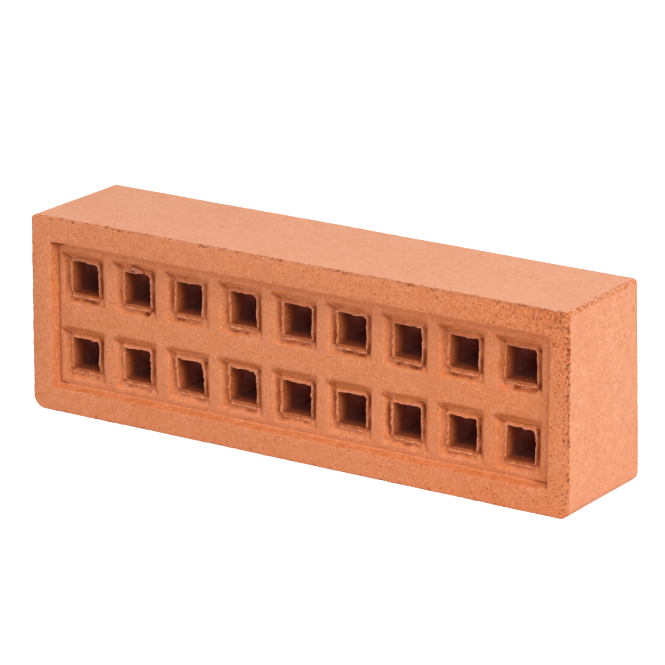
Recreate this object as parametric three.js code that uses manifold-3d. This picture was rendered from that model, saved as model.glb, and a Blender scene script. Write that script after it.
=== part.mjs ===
import * as THREE from "three";
import { mergeVertices } from "three/addons/utils/BufferGeometryUtils.js";
import Module from "manifold-3d";

// A terracotta air brick: one piece of fired clay that lets air through a wall.
// Millimetres, +Z up. The brick stands on its bed, centred on the origin, and its grille faces -Y.
// Its face has a sunk panel. In the panel stand rows of dished cells, and each dish has a hole
// through the brick with a thin lip of clay standing up around its mouth.

// The body
const BRICK_LENGTH = 215;
const BRICK_HEIGHT = 70;
const BRICK_DEPTH = 48;
const LOWER_CORNER_RADIUS = 3.6; // the edges that run front to back, beside the bed
const UPPER_CORNER_RADIUS = 1.6; // the same edges, beside the top
const ARRIS_ROUNDING = 0.7; // the edges round the face and round the back

// The sunk panel of the face
const END_BORDER = 8.4;
const TOP_BORDER = 9;
const BOTTOM_BORDER = 9;
const PANEL_DEPTH = 3.1;
const PANEL_WALL_RUN = 0.9; // how far its sloping wall leans in
const PANEL_CORNER_RADIUS = 1.2;

// One cell, from its hole outwards
const HOLE_WIDTH = 10.9;
const HOLE_HEIGHT = 11.9;
const HOLE_CORNER_RADIUS = 0.8;
const HOLE_DRAFT = 0.5; // what each wall closes in from the mouth to the back, so that the pin draws out
const LIP_WIDTH = 1.1;
const LIP_CROWN_WIDTH = 0.6;
const LIP_HEIGHT = 0.8;
const LIP_CORNER_RADIUS = 1.1;
const GROOVE_WIDTH = 0.9; // the flat bottom of the dish, round the lip
const DISH_WALL_RUN = 1.45;
const DISH_DEPTH = 1.4;
const DISH_CORNER_RADIUS = 1.4;

// The material left between the dishes
const RIB_WIDTH = 4;
const RAIL_WIDTH = 8.6;

const CORNER_STEPS = 4; // facets in half a quarter turn of the body's corners
const CELL_CORNER_STEPS = 1;
const ARRIS_STEPS = 2;
const OVERSHOOT = 2; // how far a cutter reaches out of the clay that it cuts

const TERRACOTTA = new THREE.MeshStandardMaterial({ color: "#d98a62", roughness: 0.92, metalness: 0 });

// What follows from them
const FACE_Y = -BRICK_DEPTH / 2;
const BACK_Y = BRICK_DEPTH / 2;

const panel = {
  width: BRICK_LENGTH - 2 * END_BORDER,
  height: BRICK_HEIGHT - TOP_BORDER - BOTTOM_BORDER,
  floorY: FACE_Y + PANEL_DEPTH,
  centreZ: (BRICK_HEIGHT - TOP_BORDER + BOTTOM_BORDER) / 2,
};
const hole = { width: HOLE_WIDTH, height: HOLE_HEIGHT };
const lipFoot = widened(hole, LIP_WIDTH);
const lipCrown = widened(hole, LIP_CROWN_WIDTH);
const dishFloor = widened(lipFoot, GROOVE_WIDTH);
const dishRim = widened(dishFloor, DISH_WALL_RUN);
const panelFloor = widened(panel, -PANEL_WALL_RUN);

const columns = copiesThatFit(panelFloor.width, dishRim.width, RIB_WIDTH);
const rows = copiesThatFit(panelFloor.height, dishRim.height, RAIL_WIDTH);
const columnPitch = dishRim.width + RIB_WIDTH;
const rowPitch = dishRim.height + RAIL_WIDTH;

// A rectangle's width and height with the same margin added on every side.
function widened({ width, height }, margin) {
  return { width: width + 2 * margin, height: height + 2 * margin };
}

// How many copies of one size, with a gap between neighbours, fit in a length.
function copiesThatFit(length, size, gap) {
  return Math.floor((length + gap) / (size + gap));
}

const wasm = await Module();
wasm.setup();

// A closed geometry as a solid that can be joined and cut.
function toSolid(geometry) {
  const bare = geometry.clone();
  bare.deleteAttribute("normal");
  bare.deleteAttribute("uv");
  const merged = mergeVertices(bare, 1e-4);
  const mesh = new wasm.Mesh({
    numProp: 3,
    vertProperties: new Float32Array(merged.getAttribute("position").array),
    triVerts: new Uint32Array(merged.index.array),
  });
  return new wasm.Manifold(mesh);
}

// A solid as a geometry with flat faces.
function toGeometry(solid) {
  const mesh = solid.getMesh();
  const indexed = new THREE.BufferGeometry();
  indexed.setAttribute("position", new THREE.BufferAttribute(mesh.vertProperties, 3));
  indexed.setIndex(new THREE.BufferAttribute(mesh.triVerts, 1));
  const flat = indexed.toNonIndexed();
  flat.computeVertexNormals();
  return flat;
}

// An upright rectangle round a centre, with arcs at its corners.
function roundedRectangle({ width, height }, centreX, centreZ, lowerRadius, upperRadius) {
  const left = centreX - width / 2;
  const right = centreX + width / 2;
  const bottom = centreZ - height / 2;
  const top = centreZ + height / 2;
  const quarter = Math.PI / 2;
  const shape = new THREE.Shape();
  shape.absarc(right - lowerRadius, bottom + lowerRadius, lowerRadius, -quarter, 0);
  shape.absarc(right - upperRadius, top - upperRadius, upperRadius, 0, quarter);
  shape.absarc(left + upperRadius, top - upperRadius, upperRadius, quarter, 2 * quarter);
  shape.absarc(left + lowerRadius, bottom + lowerRadius, lowerRadius, 2 * quarter, 3 * quarter);
  return shape;
}

// The plain block: its end-on outline pushed through from the face to the back, arrises eased.
function makeBlock() {
  const core = widened({ width: BRICK_LENGTH, height: BRICK_HEIGHT }, -ARRIS_ROUNDING);
  const outline = roundedRectangle(
    core,
    0,
    BRICK_HEIGHT / 2,
    LOWER_CORNER_RADIUS - ARRIS_ROUNDING,
    UPPER_CORNER_RADIUS - ARRIS_ROUNDING,
  );
  const block = new THREE.ExtrudeGeometry(outline, {
    depth: BRICK_DEPTH - 2 * ARRIS_ROUNDING,
    bevelSize: ARRIS_ROUNDING,
    bevelThickness: ARRIS_ROUNDING,
    bevelSegments: ARRIS_STEPS,
    curveSegments: CORNER_STEPS,
  });
  block.rotateX(Math.PI / 2);
  block.translate(0, BACK_Y - ARRIS_ROUNDING, 0);
  return toSolid(block);
}

// A solid that runs from front to back through rounded rectangles, each { y, size }.
function loft(centreX, centreZ, radius, sections) {
  const rings = sections.map(({ size }) =>
    roundedRectangle(size, centreX, centreZ, radius, radius).getPoints(CELL_CORNER_STEPS),
  );
  const count = rings[0].length;
  const positions = sections.flatMap(({ y }, k) => rings[k].flatMap((point) => [point.x, y, point.y]));
  const indices = [];
  for (let k = 0; k + 1 < sections.length; k++) {
    for (let i = 0; i < count; i++) {
      const here = k * count + i;
      const next = k * count + ((i + 1) % count);
      indices.push(here, here + count, next);
      indices.push(next, here + count, next + count);
    }
  }
  const back = (sections.length - 1) * count;
  for (const [a, b, c] of THREE.ShapeUtils.triangulateShape(rings[0], [])) {
    indices.push(a, b, c);
    indices.push(back + a, back + c, back + b);
  }
  const geometry = new THREE.BufferGeometry();
  geometry.setAttribute("position", new THREE.Float32BufferAttribute(positions, 3));
  geometry.setIndex(indices);
  return toSolid(geometry);
}

// The sunk panel, as the piece to cut away.
function makePanelCutter() {
  return loft(0, panel.centreZ, PANEL_CORNER_RADIUS, [
    { y: FACE_Y - OVERSHOOT, size: panel },
    { y: FACE_Y, size: panel },
    { y: panel.floorY, size: panelFloor },
  ]);
}

// One cell: its dish is cut into the panel's floor, its lip stands in the dish, and its hole runs through both.
function cutCell(brick, centreX, centreZ) {
  const dishFloorY = panel.floorY + DISH_DEPTH;
  const mouthY = dishFloorY - LIP_HEIGHT;
  const backOfHole = widened(hole, -HOLE_DRAFT);
  const dish = loft(centreX, centreZ, DISH_CORNER_RADIUS, [
    { y: panel.floorY - PANEL_DEPTH, size: dishRim },
    { y: panel.floorY, size: dishRim },
    { y: dishFloorY, size: dishFloor },
  ]);
  const lip = loft(centreX, centreZ, LIP_CORNER_RADIUS, [
    { y: mouthY, size: lipCrown },
    { y: dishFloorY, size: lipFoot },
    { y: dishFloorY + OVERSHOOT, size: lipFoot },
  ]);
  const bore = loft(centreX, centreZ, HOLE_CORNER_RADIUS, [
    { y: mouthY - OVERSHOOT, size: hole },
    { y: mouthY, size: hole },
    { y: BACK_Y, size: backOfHole },
    { y: BACK_Y + OVERSHOOT, size: backOfHole },
  ]);
  return brick.subtract(dish).add(lip).subtract(bore);
}

function makeBrick() {
  let brick = makeBlock().subtract(makePanelCutter());
  for (let row = 0; row < rows; row++) {
    for (let column = 0; column < columns; column++) {
      const centreX = (column - (columns - 1) / 2) * columnPitch;
      const centreZ = panel.centreZ + (row - (rows - 1) / 2) * rowPitch;
      brick = cutCell(brick, centreX, centreZ);
    }
  }
  const mesh = new THREE.Mesh(toGeometry(brick), TERRACOTTA);
  mesh.name = "air_brick";
  return mesh;
}

const group = new THREE.Group();
group.add(makeBrick());

export default group;
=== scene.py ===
import math

import bmesh
import bpy
import numpy as np
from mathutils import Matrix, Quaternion, Vector


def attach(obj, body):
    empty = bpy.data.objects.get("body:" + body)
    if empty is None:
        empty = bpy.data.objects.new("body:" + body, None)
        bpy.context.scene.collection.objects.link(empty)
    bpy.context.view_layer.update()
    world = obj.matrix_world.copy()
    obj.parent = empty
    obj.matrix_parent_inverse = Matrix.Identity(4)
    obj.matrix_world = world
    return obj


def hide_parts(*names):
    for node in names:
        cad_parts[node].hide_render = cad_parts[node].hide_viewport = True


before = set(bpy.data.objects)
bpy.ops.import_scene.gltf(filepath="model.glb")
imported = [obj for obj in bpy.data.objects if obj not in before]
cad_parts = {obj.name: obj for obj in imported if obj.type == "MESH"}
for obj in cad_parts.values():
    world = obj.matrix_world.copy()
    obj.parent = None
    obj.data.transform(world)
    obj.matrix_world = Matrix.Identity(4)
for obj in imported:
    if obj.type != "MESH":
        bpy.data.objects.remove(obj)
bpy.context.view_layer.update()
scene = bpy.context.scene

# The fired air brick. Its skin is a field of distances on a grid, negative inside the clay. The field becomes
# a mesh, the mesh is thinned out, and each vertex gets the values that the one material needs to know.
# Lengths are in millimetres until mesh_from() turns them into metres.
MM = 0.001
NODE = "air_brick"
PIECE = "fired_clay_brick"

# ---- the brick's sizes, the same as in its CAD source ----
LENGTH = 215.0
DEPTH = 48.0
HEIGHT = 70.0
END_BORDER = 8.4
TOP_BORDER = 9.0
BOTTOM_BORDER = 9.0
PANEL_DEPTH = 3.1
PANEL_WALL_RUN = 0.9
PANEL_CORNER_RADIUS = 0.9
HOLE_WIDTH = 10.9
HOLE_HEIGHT = 11.9
HOLE_CORNER_RADIUS = 0.5
HOLE_DRAFT = 0.5
LIP_WIDTH = 1.1
LIP_HEIGHT = 0.8
GROOVE_WIDTH = 0.9
DISH_WALL_RUN = 1.45
DISH_DEPTH = 1.4
RIB_WIDTH = 4.0
RAIL_WIDTH = 8.6
COLUMNS = 9
ROWS = 2

FACE_Y = -DEPTH / 2
BACK_Y = DEPTH / 2
HALF_LENGTH = LENGTH / 2
DISH_FLOOR = PANEL_DEPTH + DISH_DEPTH  # how far behind the face it lies
MOUTH_DEPTH = DISH_FLOOR - LIP_HEIGHT  # how far behind the face the lips stand
DISH_MARGIN = LIP_WIDTH + GROOVE_WIDTH + DISH_WALL_RUN
COLUMN_PITCH = HOLE_WIDTH + 2 * DISH_MARGIN + RIB_WIDTH
ROW_PITCH = HOLE_HEIGHT + 2 * DISH_MARGIN + RAIL_WIDTH
PANEL_HALF = (HALF_LENGTH - END_BORDER, (HEIGHT - TOP_BORDER - BOTTOM_BORDER) / 2)
PANEL_Z = (HEIGHT - TOP_BORDER + BOTTOM_BORDER) / 2
HOLE_XS = [(i - (COLUMNS - 1) / 2) * COLUMN_PITCH for i in range(COLUMNS)]
HOLE_ZS = [PANEL_Z - (k - (ROWS - 1) / 2) * ROW_PITCH for k in range(ROWS)]

# ---- the fired block ----
LOWER_LEFT_RADIUS = 5.0
LOWER_RIGHT_RADIUS = 3.0
UPPER_RADIUS = 1.5
LEFT_LEAN = (0.2, 1.1)  # how far the left end leans in at the top, by the face and by the back
RIGHT_LEAN = (0.9, 2.2)
SKIN = 0.05  # how far the fired surface lies inside the CAD one
SKIN_WAVES = 0.030
SKIN_GRAIN = 0.008
ARRIS_ROUND = 0.42
ARRIS_ROUND_RANGE = (0.2, 1.3)
BACK_ARRIS_WEAR = 0.04  # how much the arrises' round varies
FRONT_ARRIS_WEAR = (0.06, 0.05)  # what it varies more by the face, coarsely and finely
BLUNT_ARRIS = 0.75  # how much rounder the upper right arrises are by the face
BORE_WAVES = 0.03
RAG_REACH = 1.3  # how fast a mouth's ragged edge fades into the hole
LIMIT_INSET = 0.03  # how far every vertex keeps inside the CAD box
PIT_EASE = 0.12

TRIANGLES = 190000  # the number of triangles that the thinning's ratio aims at; the most that the piece may have
WELD = 0.01  # vertices nearer than this are one
FINE_SPACING = 0.215
PLAIN_SPACING = 0.66
FRONT_SPACING = FINE_SPACING + 0.02  # these three are along y: by the face, in the middle, by the back
DEEP_SPACING = 1.00
BACK_SPACING = 0.40

# every noise in the shape: its spread, the size of its features and its seed
NOISES = {
    "drift_x": (0.08, 6, 11),
    "drift_x_fine": (0.015, 1.6, 12),
    "drift_z": (0.08, 6, 13),
    "drift_z_fine": (0.015, 1.6, 14),
    "panel_wave": (0.05, 9, 15),
    "panel_grain": (1, 1.4, 16),
    "broken": (1, 2.6, 21),
    "torn": (0.35, 1.9, 22),
    "torn_fine": (0.95, 0.62, 23),
    "groove_wave": (0.08, 1.5, 24),
    "lip_wave": (0.08, 0.62, 25),
    "rag": (0.058, 0.62, 26),
    "rag_wide": (0.015, 2.0, 27),
    "hole_to_hole": (0.55, 20, 28),
    "crumbs": (0.65, 0.9, 29),
    "fine": (1, 1.0, 31),
    "coarse": (1, 2.4, 32),
    "waves": (1, 14, 33),
}
SPLINE_SPREAD = {2: 0.437, 3: 0.289}  # what one unit of lattice noise keeps in 2 and 3 dimensions


# ---- small shaping functions ----
def smoothstep(t):
    t = np.clip(t, 0, 1)
    return t * t * (3 - 2 * t)


def rise(value, start, end):
    """0 where the value is start, 1 where it is end, eased between; end may be the smaller one."""
    return smoothstep((value - start) / (end - start))


def ridge(value, middle, half_width):
    """1 where the value is middle, falling to nearly nothing at half_width to either side."""
    t = (value - middle) / half_width
    return np.exp(-(t * t) * 2)


def plane_step(t):
    """0 to 1 in a straight slope from t = 0 to 1, with slightly eased ends."""
    ease = 0.12
    return 1 - smooth_max(1 - smooth_max(t, 0.0, ease), 0.0, ease)


def smooth_max(a, b, radius):
    """The larger of two distances, with a round of about that radius where they meet."""
    h = np.clip(0.5 - 0.5 * (b - a) / radius, 0, 1)
    return b + (a - b) * h + radius * h * (1 - h)


def largest(first, *others):
    for other in others:
        first = np.maximum(first, other)
    return first


def box_distance(x, z, half_x, half_z, radius):
    """Distance to a rounded rectangle's edge, negative inside it."""
    qx = np.abs(x) - (half_x - radius)
    qz = np.abs(z) - (half_z - radius)
    outside = np.hypot(np.maximum(qx, 0), np.maximum(qz, 0))
    return outside + np.minimum(np.maximum(qx, qz), 0) - radius


def end_lean(x, y):
    """How far the end on that side leans in at the top of the brick."""
    back = (y - FACE_Y) / DEPTH
    left = LEFT_LEAN[0] + (LEFT_LEAN[1] - LEFT_LEAN[0]) * back
    right = RIGHT_LEAN[0] + (RIGHT_LEAN[1] - RIGHT_LEAN[0]) * back
    return np.where(x < 0, left, right)


# ---- noise on the grid ----
def spline_weights(points, spacing, phase):
    """A matrix from lattice values, one every spacing, to smooth values at the points."""
    t = (points - points[0]) / spacing + 2 + phase
    base = np.floor(t).astype(int)
    f = t - base
    weights = np.zeros((len(points), base.max() + 3), np.float32)
    rows = np.arange(len(points))
    weights[rows, base - 1] = (1 - f) ** 3 / 6
    weights[rows, base] = (3 * f**3 - 6 * f**2 + 4) / 6
    weights[rows, base + 1] = (-3 * f**3 + 3 * f**2 + 3 * f + 1) / 6
    weights[rows, base + 2] = f**3 / 6
    return weights


def noise(axes, name):
    """The named noise at every point of the grid that the axes span."""
    spread, spacing, seed = NOISES[name]
    rng = np.random.default_rng(seed)
    mats = [spline_weights(axis, spacing, rng.random()) for axis in axes]
    values = rng.standard_normal([m.shape[1] for m in mats]).astype(np.float32)
    for k, m in enumerate(mats):
        values = np.moveaxis(np.tensordot(m, values, axes=(1, k)), 0, k)
    return spread * (values / SPLINE_SPREAD[len(axes)])


# ---- the grid: fine where the face has lips and grooves, coarser elsewhere ----
def graded_lines(low, high, spacing_at):
    """Grid lines from low to high whose spacing follows spacing_at(position)."""
    samples = np.linspace(low, high, 20001)
    density = 1 / spacing_at(samples)
    steps = (density[1:] + density[:-1]) / 2 * np.diff(samples)
    total = np.concatenate([[0], np.cumsum(steps)])
    count = int(math.ceil(total[-1]))
    return np.interp(np.linspace(0, total[-1], count + 1), total, samples)


def band(samples, centres, inner, outer):
    """1 where a sample lies between inner and outer from one of the centres, easing to 0 in 1 mm."""
    best = np.zeros_like(samples)
    for centre in centres:
        d = np.abs(samples - centre)
        best = np.maximum(best, np.clip(np.minimum(d - inner, outer - d) + 1, 0, 1))
    return best


def face_lines(middle, half, holes, hole_half, panel_middle, panel_half):
    """Grid lines along x or z, closer together at the mouths, the panel's walls and the arrises."""

    def spacing(samples):
        mouths = band(samples, holes, hole_half - 0.4, hole_half + DISH_MARGIN)
        walls = band(samples, [panel_middle], panel_half - 1.5, panel_half + 0.5)
        arrises = band(samples, [middle], half - 2.2, half + 2)
        return PLAIN_SPACING + (FINE_SPACING - PLAIN_SPACING) * largest(mouths, walls, arrises)

    return graded_lines(middle - half - 1, middle + half + 1, spacing)


def depth_spacing(y):
    front = np.clip((FACE_Y + 6.5 - y) / 1.0, 0, 1)
    back = np.clip(y - (BACK_Y - 2.5), 0, 1)
    return DEEP_SPACING + (FRONT_SPACING - DEEP_SPACING) * front + (BACK_SPACING - DEEP_SPACING) * back


def make_grid():
    xs = face_lines(0, HALF_LENGTH, HOLE_XS, HOLE_WIDTH / 2, 0, PANEL_HALF[0])
    ys = graded_lines(FACE_Y - 1, BACK_Y + 1, depth_spacing)
    zs = face_lines(HEIGHT / 2, HEIGHT / 2, HOLE_ZS, HOLE_HEIGHT / 2, PANEL_Z, PANEL_HALF[1])
    return xs, ys, zs


# ---- the panel ----
PANEL_SHIFT = 0.3  # to the right
PANEL_GROWTH = 0.2  # of half its height
PANEL_GRAIN = (0.015, 0.050)  # how rough its rims are: the lower, and the upper
WALL_EASE = 0.05
LOW_WALL_RUN = 0.6  # the lower wall is the steepest
LOW_WALL_TOP = PANEL_Z - PANEL_HALF[1] + 4
FOOT_LINE = (0.30, 0.34)  # the line past a wall's foot: its middle and half width
LOW_FOOT_LINE = (0.75, 0.22)
LEFT_FOOT_DEPTH = 0.50
LOW_FOOT_DEPTH = 0.10
FILLET_RUN = 0.6  # clay left in the foot of the lower wall
FILLET_HEIGHT = 0.25
SLOT_DEPTH = 1.1  # at the foot of the right wall, near its lower end
NOTCH_PLACE = (0.8, 0.5)  # in from the panel's upper left corner
NOTCH_HALF = (1.3, 0.7)
NOTCH_DEPTH = 0.8

# ---- the mouths and dishes; two values are for x and z ----
PLAY_SEED = 135530  # gives much the same play as in the photo
SHIFT_PLAY = 0.18
SIZE_PLAY = 0.17
SLANT_PLAY = 0.012
LEAN_PLAY = 0.010
SLANTED_HOLE = (1, 2)  # row and column, from the upper left
SLANT = 0.09
RIGHT_SLANT = 0.4  # the share of a slant that the right side has
MOUTH_SHIFT = (0.12, 0.10)  # how far the punch stood to the right and low
MOUTH_GROWTH = (0.08, -0.22)  # of half of each mouth
UPPER_RIGHT_ROUND = 1.3
DISH_HALF = (8.6, 9.5)  # from a cell's middle to where its dish begins
DISH_RISE = 0.2
DISH_CORNER = 0.4
CREASE_MIDDLE = (7.95, 7.5)  # to the left of a cell's middle, and above it
CREASE_ALONG = (0.77, 0.64)
CREASE_HALF_WIDTH = 0.95
CREASE_END = (2.7, 1.3)  # from its middle: where it ends, and where it is full
CREASE_DEPTH = 0.25

# ---- what goes round a mouth: the value all round, and what each side adds to it ----
DISH_RUN = {"all": 1.15, "right": 1.25, "upper": 0.35}
GROOVE_MIDDLE = {"all": 1.20, "right": 0.06, "left": 0.85, "lower_middle": 1.36, "upper": 0.22}
GROOVE_HALF_WIDTH = {"all": 0.50, "right": 0.05, "left": -0.14, "lower": -0.04, "upper": -0.20}
GROOVE_DEPTH = {"all": 1.00, "left": -0.35}
LIP_EDGE = {"all": 0.62, "right": -0.02, "left": 0.34, "lower_middle": 1.08}
LIP_RISE = {"all": LIP_HEIGHT + 0.05, "left": -0.15}
LIP_TEARING = {"all": 0.25, "right": -0.12}
DISH_SHADE = {"all": 0.35, "left": 0.30, "right": -0.30}
CREST_SHARE = {"all": 0.35, "right": 0.50, "left": -0.22, "lower": 0.15, "upper": 0.30}
LOW_ROW_CREST = {"all": 0.0, "right": 0.10, "left": 0.14}  # what the lower row's crests have more
# and what differs between the rows: the value in the upper row, and in the lower
RIGHT_STRENGTH = 0.78
LEFT_STRENGTH = (0.36, 0.50)
BOTTOM_STRENGTH = (0.28, -0.04)
TOP_STRENGTH = (0.24, 0.30)
CRUMBLING = (0.42, 0.16)
ABOVE_LIP_SHADE = (0.48, 0.90)
BELOW_LIP_SHADE = (0.80, 0.44)
LOW_ROW_DROP = 0.25  # of the lower row's lips, underneath
LIP_EASE = 0.25
LIP_RANGE = (0.15, 1.4)

# ---- the curl of clay that is left over the upper edge of one hole ----
CURL_HOLE = (0, 1)
CURL_OFFSET = (-0.55, 1.05)  # the curl's middle, from the middle of that edge
CURL_HALF = (2.4, 0.85, 0.62)
CURL_BEHIND = PANEL_DEPTH + 0.75  # behind the face
CURL_SLOPE = 0.18
CURL_BEND = 0.06
CURL_LINE = (1.42, 0.34)  # the hollow over it, which also gets painted shade: its middle and half width, in curl half sizes
CURL_LINE_DEPTH = 0.75


def bent(x, z):
    """Height over the curl's bent middle line."""
    return z + CURL_BEND * x**2 + CURL_SLOPE * x


class Face:
    """The grille face as maps over x and z. Relief is how far the clay lies behind the face plane."""

    def __init__(self, xs, zs):
        self.axes = (xs, zs)
        self.x = xs[:, None].astype(np.float32)
        self.z = zs[None, :].astype(np.float32)
        self.lower_row = rise(PANEL_Z - self.z, 0, 2)
        shaping = (self.press_panel, self.punch_holes, self.find_sides, self.sink_dishes)
        mouths = (self.cut_grooves, self.raise_lips, self.add_curl_line)
        for step in shaping + mouths + (self.shade_dishes, self.shade_grooves, self.shade_crests):
            step()

    def noise(self, name):
        return noise(self.axes, name)

    def by_side(self, values):
        total = values["all"]
        for side, more in values.items():
            if side != "all":
                total = total + more * getattr(self, side)
        return total

    def by_row(self, values):
        return values[0] + (values[1] - values[0]) * self.lower_row

    def press_panel(self):
        """The sunk panel, its walls, and what runs along their feet."""
        x, z = self.x, self.z
        half_x = PANEL_HALF[0] + PANEL_SHIFT
        half_z = PANEL_HALF[1] + PANEL_GROWTH
        inwards = -box_distance(x - PANEL_SHIFT, z - PANEL_Z, half_x, half_z, PANEL_CORNER_RADIUS)
        grain = PANEL_GRAIN[0] + (PANEL_GRAIN[1] - PANEL_GRAIN[0]) * rise(z, PANEL_Z, PANEL_Z + 10)
        panel = inwards + self.noise("panel_wave") + grain * self.noise("panel_grain")
        low_side = rise(z, LOW_WALL_TOP, LOW_WALL_TOP - 0.5) * rise(np.abs(x), half_x - 3, half_x - 3.5)
        wall_run = PANEL_WALL_RUN + (LOW_WALL_RUN - PANEL_WALL_RUN) * low_side
        relief = PANEL_DEPTH * plane_step((panel + WALL_EASE) / (wall_run + 2 * WALL_EASE))

        foot = ridge(panel - PANEL_WALL_RUN, *FOOT_LINE)
        left_foot = foot * (x < -PANEL_HALF[0] + 3)
        low_foot = ridge(panel - LOW_WALL_RUN, *LOW_FOOT_LINE) * low_side
        fillet = rise(panel, LOW_WALL_RUN + FILLET_RUN, LOW_WALL_RUN) * low_side * (panel > LOW_WALL_RUN)
        self.slot = foot * rise(x - PANEL_HALF[0], -9, -1) * rise(PANEL_Z - z, 20, 22)
        beside_notch = (x + PANEL_HALF[0] - NOTCH_PLACE[0]) / NOTCH_HALF[0]
        over_notch = (z - PANEL_Z - PANEL_HALF[1] + NOTCH_PLACE[1]) / NOTCH_HALF[1]
        self.notch = ridge(np.hypot(beside_notch, over_notch), 0, 1)
        relief = relief + LEFT_FOOT_DEPTH * left_foot + LOW_FOOT_DEPTH * low_foot - FILLET_HEIGHT * fillet
        self.relief = relief + SLOT_DEPTH * self.slot + NOTCH_DEPTH * self.notch
        self.panel_in = panel

    def punch_holes(self):
        shape = (len(self.axes[0]), len(self.axes[1]))
        self.out = np.full(shape, 99.0, np.float32)  # distance outwards from the nearest hole's edge
        self.dish_in = np.full(shape, -99.0, np.float32)  # distance inwards from the nearest dish's edge
        zeros = np.zeros(shape, np.float32)
        self.across = zeros  # -1 at that hole's left side, 1 at its right
        self.up = zeros  # -1 at its lower side, 1 at its upper
        self.beyond = zeros  # distance past its upper or lower edge
        self.crease = zeros  # 1 in the crease at the upper left corner of each dish
        self.drift_x = self.noise("drift_x") + self.noise("drift_x_fine")
        self.drift_z = self.noise("drift_z") + self.noise("drift_z_fine")
        rng = np.random.default_rng(PLAY_SEED)
        for row, hole_z in enumerate(HOLE_ZS):
            for column, hole_x in enumerate(HOLE_XS):
                slant = rng.normal(0, SLANT_PLAY)
                if (row, column) == SLANTED_HOLE:
                    slant = SLANT
                self.add_mouth(rng, self.x - hole_x, self.z - hole_z, slant)
                self.add_dish(self.x - hole_x, self.z - hole_z)

    def add_mouth(self, rng, x, z, slant):
        """One mouth with its own play; x and z are from the middle of its cell."""
        lean = rng.normal(0, LEAN_PLAY)
        shift = rng.normal(0, SHIFT_PLAY, 2)
        grow = rng.normal(0, SIZE_PLAY, 2)
        dx = x - MOUTH_SHIFT[0] + self.drift_x + shift[0]
        dz = z - MOUTH_SHIFT[1] + self.drift_z + shift[1]
        cx = dx + slant * dz * np.where(dx < 0, 1, RIGHT_SLANT)
        cz = dz + lean * dx
        half_x = HOLE_WIDTH / 2 + MOUTH_GROWTH[0] + grow[0]
        half_z = HOLE_HEIGHT / 2 + MOUTH_GROWTH[1] + grow[1]
        corner_radius = np.where((cx > 0) & (cz > 0), UPPER_RIGHT_ROUND, HOLE_CORNER_RADIUS)
        d = smooth_max(np.abs(cx) - half_x, np.abs(cz) - half_z, corner_radius)
        across = np.clip(cx / (half_x + 0.5), -1, 1)
        up = np.clip(cz / (half_z + 0.5), -1, 1)
        nearer = d < self.out
        here = {"out": d, "across": across, "up": up, "beyond": np.abs(cz) - half_z}
        for name, values in here.items():
            setattr(self, name, np.where(nearer, values, getattr(self, name)))

    def add_dish(self, x, z):
        beside = np.abs(x + self.drift_x) - DISH_HALF[0]
        above = np.abs(z + self.drift_z - DISH_RISE) - DISH_HALF[1]
        self.dish_in = np.maximum(self.dish_in, -smooth_max(beside, above, DISH_CORNER))
        off_corner = x + self.drift_x + CREASE_MIDDLE[0]
        over_corner = z + self.drift_z - CREASE_MIDDLE[1]
        along = np.abs(CREASE_ALONG[0] * off_corner - CREASE_ALONG[1] * over_corner)
        astride = CREASE_ALONG[1] * off_corner + CREASE_ALONG[0] * over_corner
        crease = ridge(astride, 0, CREASE_HALF_WIDTH) * rise(along, *CREASE_END)
        self.crease = np.maximum(self.crease, crease)

    def find_sides(self):
        self.right = rise(self.across, 0.75, 1)
        self.left = rise(-self.across, 0.75, 1)
        self.lower = rise(-self.up, 0.75, 1)
        self.upper = rise(self.up, 0.75, 1)
        self.lower_middle = self.lower * rise(np.abs(self.across), 1, 0.85)
        self.roof = rise(self.up, -0.5, 0.25)

    def sink_dishes(self):
        self.dish = plane_step(self.dish_in / self.by_side(DISH_RUN))
        self.relief = self.relief + DISH_DEPTH * self.dish * rise(self.panel_in, 0, 0.8)

    def cut_grooves(self):
        """The groove round each lip: deepest on the right, and broken along the bottom."""
        broken = self.noise("broken")
        self.middle = self.by_side(GROOVE_MIDDLE) + self.noise("groove_wave")
        self.half_width = self.by_side(GROOVE_HALF_WIDTH)
        past_left = rise(self.beyond, 0.3, 0.8)
        past_right = rise(self.beyond, 0.4, 1.2 - 0.1 * (self.up > 0))
        deeper = np.clip(1 + self.noise("hole_to_hole"), 0.2, 2)
        left = self.by_row(LEFT_STRENGTH) * deeper * (1 - 0.85 * past_left) * self.left
        sides = RIGHT_STRENGTH * self.right * (1 - past_right) + left
        crumbling = self.by_row(CRUMBLING) * (1 - 0.45 * rise(self.x, -10, 50))
        crumbled = crumbling * (0.75 * broken + self.noise("crumbs"))
        along_bottom = self.lower * np.clip(self.by_row(BOTTOM_STRENGTH) + crumbled, 0, 1.1)
        along_bottom = along_bottom * (1 - rise(-self.across, 0.70, 0.95))
        self.along_top = self.upper * np.clip(self.by_row(TOP_STRENGTH) + 0.12 * broken, 0, 1)
        self.strength = np.clip(sides * (1 + 0.25 * broken) + along_bottom + self.along_top, 0, 1.3)
        groove = ridge(self.out, self.middle, self.half_width) * self.strength
        self.relief = self.relief + self.by_side(GROOVE_DEPTH) * groove

    def raise_lips(self):
        """The lip that the punch left, torn and of uneven height, and the mouth's ragged edge."""
        torn = self.by_side(LIP_TEARING) * (self.noise("torn") + self.noise("torn_fine"))
        height = self.by_side(LIP_RISE) + torn - LOW_ROW_DROP * self.lower * self.lower_row
        self.edge = self.by_side(LIP_EDGE) + self.noise("lip_wave")
        self.lip = smoothstep((self.edge - self.out) / LIP_EASE)
        self.relief = self.relief - self.lip * np.clip(height, *LIP_RANGE)
        self.rag = self.noise("rag") + self.noise("rag_wide")

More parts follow.
